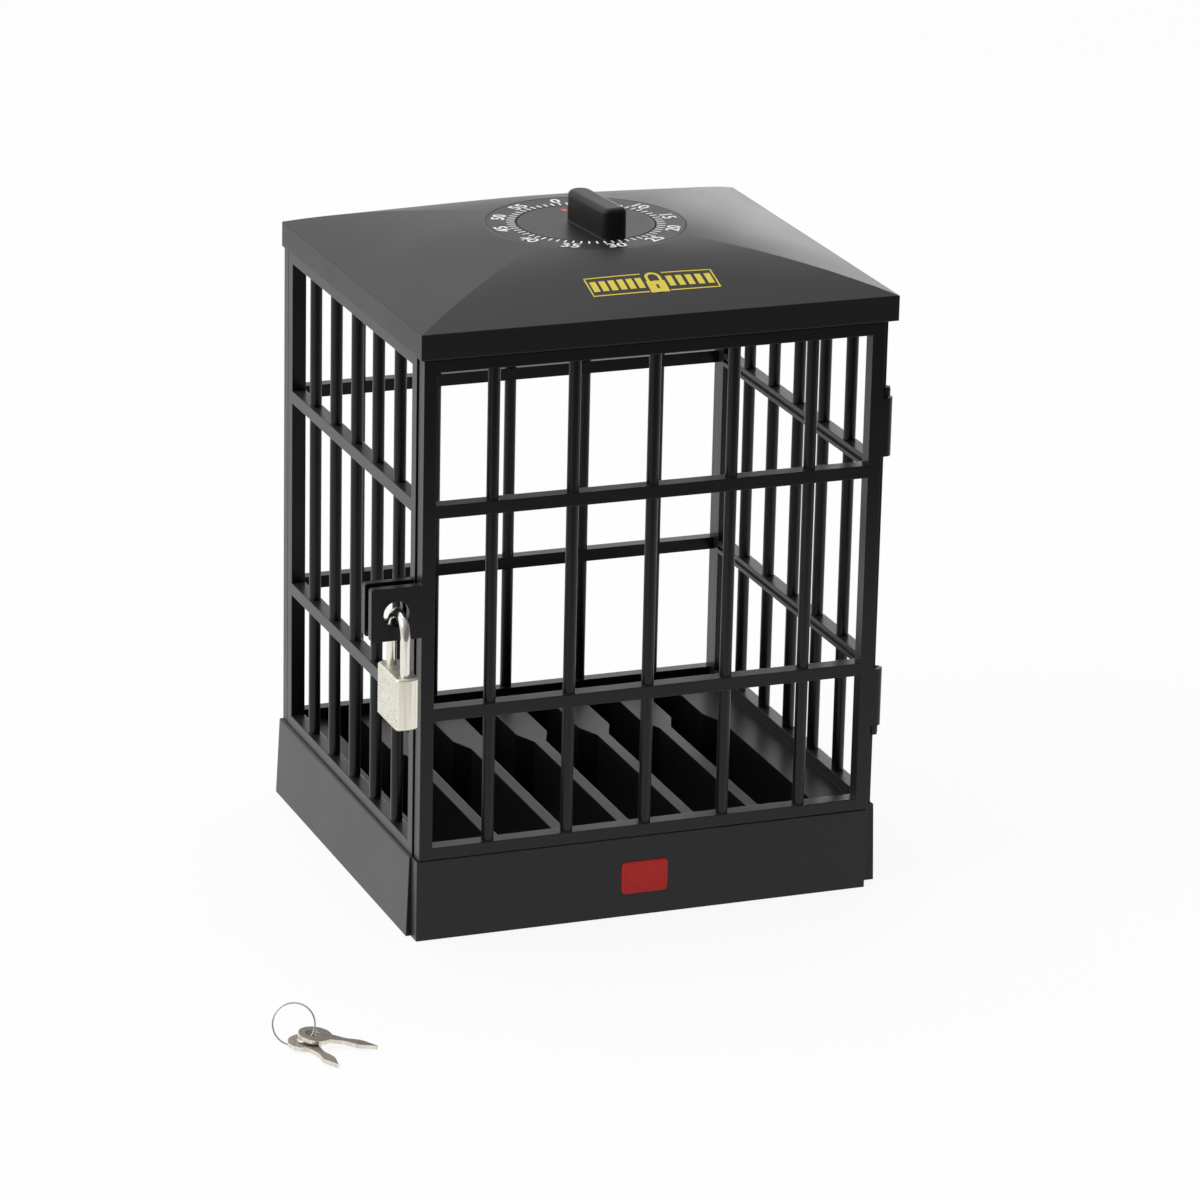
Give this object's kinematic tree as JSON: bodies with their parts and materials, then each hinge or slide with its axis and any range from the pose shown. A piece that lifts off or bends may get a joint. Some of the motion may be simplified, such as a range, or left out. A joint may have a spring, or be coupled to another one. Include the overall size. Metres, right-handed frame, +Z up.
{
  "type": "phone lock box",
  "caption": "Barred cage for phones on a slotted base, with a hinged padlocked door and a hipped roof that carries a clockwork timer dial.",
  "frame": {"origin": "middle of the base's underside, below the middle of the cage", "axes": "+Z up, the door faces -Y, hinges on +X"},
  "size_m": [0.2146, 0.216, 0.2086],
  "materials": {
    "cage_plastic": "fine satin moulding",
    "base_plastic": "fine satin moulding",
    "tray_plastic": "fine satin moulding",
    "roof_plastic": "fine satin moulding",
    "dial_plastic": "satin moulding with printed numbers",
    "knob_plastic": "satin moulding",
    "fixing_steel": "zinc plated",
    "movement_steel": "plain",
    "wheel_brass": "stamped",
    "bell_steel": "plated",
    "lock_metal": "warm nickel plating",
    "shackle_steel": "plated",
    "lock_inner": "turned",
    "key_metal": "nickel plating"
  },
  "bodies": {
    "box": {"left_panel": "cage_plastic", "right_panel": "cage_plastic", "back_panel": "cage_plastic", "base_surround": "base_plastic", "base_front_plate": "base_plastic", "phone_tray": "tray_plastic", "roof_shell": "roof_plastic", "ceiling_plate": "roof_plastic", "dial_ring": "dial_plastic", "base_screws": "fixing_steel", "roof_screws": "fixing_steel", "movement_screws": "fixing_steel", "bell_screw": "fixing_steel", "hinge_pin_upper": "fixing_steel", "hinge_pin_lower": "fixing_steel", "mainspring": "movement_steel", "movement_pillars": "movement_steel", "movement_top_plate": "movement_steel", "movement_bottom_plate": "movement_steel", "bell": "bell_steel"},
    "door": {"door": "cage_plastic"},
    "timer": {"timer_knob": "knob_plastic", "timer_arbor": "movement_steel", "main_wheel": "wheel_brass"},
    "second": {"second_wheel": "wheel_brass"},
    "escape": {"escape_wheel": "wheel_brass"},
    "anchor": {"escape_anchor": "movement_steel"},
    "hammer": {"bell_hammer": "movement_steel"},
    "shackle": {"padlock_shackle": "shackle_steel"},
    "lock_case": {"padlock_body": "lock_metal"},
    "lock_plug": {"padlock_plug": "lock_inner"},
    "lock_latch": {"padlock_latch": "lock_inner"},
    "keys": {"first_key": "key_metal", "second_key": "key_metal", "key_ring": "key_metal"}
  },
  "joints": [
    {"name": "door_hinge", "type": "hinge", "parent": "box", "child": "door", "pos_m": [0.0727, -0.0637, 0.103], "axis": [0, 0, 1], "range_deg": [0, 170]},
    {"name": "timer_turn", "type": "hinge", "parent": "box", "child": "timer", "pos_m": [0, 0, 0.1992], "axis": [0, 0, 1], "range_deg": [-354, 0]},
    {"name": "second_spin", "type": "hinge", "parent": "box", "child": "second", "pos_m": [-0.01645, -0.00598, 0.19], "axis": [0, 0, 1], "range_deg": [0, 2124]},
    {"name": "escape_spin", "type": "hinge", "parent": "box", "child": "escape", "pos_m": [-0.00902, -0.01785, 0.19], "axis": [0, 0, 1], "range_deg": [-12744, 0]},
    {"name": "anchor_rock", "type": "hinge", "parent": "box", "child": "anchor", "pos_m": [-0.00224, -0.02128, 0.19], "axis": [0, 0, 1], "range_deg": [-2, 2]},
    {"name": "hammer_swing", "type": "hinge", "parent": "box", "child": "hammer", "pos_m": [0.022, -0.013, 0.186], "axis": [0, 0, 1], "range_deg": [-12, 0]},
    {"name": "padlock_swing", "type": "hinge", "parent": "door", "child": "shackle", "pos_m": [-0.0817, -0.0645, 0.104], "axis": [0, 1, 0], "range_deg": [-5, 70]},
    {"name": "padlock_release", "type": "slide", "parent": "shackle", "child": "lock_case", "axis": [0, 0, -1], "range_m": [0, 0.007]},
    {"name": "plug_turn", "type": "hinge", "parent": "lock_case", "child": "lock_plug", "pos_m": [-0.0817, -0.0676, 0.0716], "axis": [0, 0, 1], "range_deg": [0, 90]},
    {"name": "latch_slide", "type": "slide", "parent": "lock_case", "child": "lock_latch", "axis": [0, 1, 0], "range_m": [0, 0.003]},
    {"name": "keys_lift", "type": "slide", "parent": "box", "child": "keys", "axis": [0, 0, 1], "range_m": [0, 0.06]}
  ],
  "couplings": [
    {"joint": "second_spin", "follows": "timer_turn", "ratio": -6},
    {"joint": "escape_spin", "follows": "timer_turn", "ratio": 36},
    {"joint": "plug_turn", "follows": "padlock_release", "rad_per_m": 224.4},
    {"joint": "latch_slide", "follows": "padlock_release", "ratio": 0.42857}
  ]
}
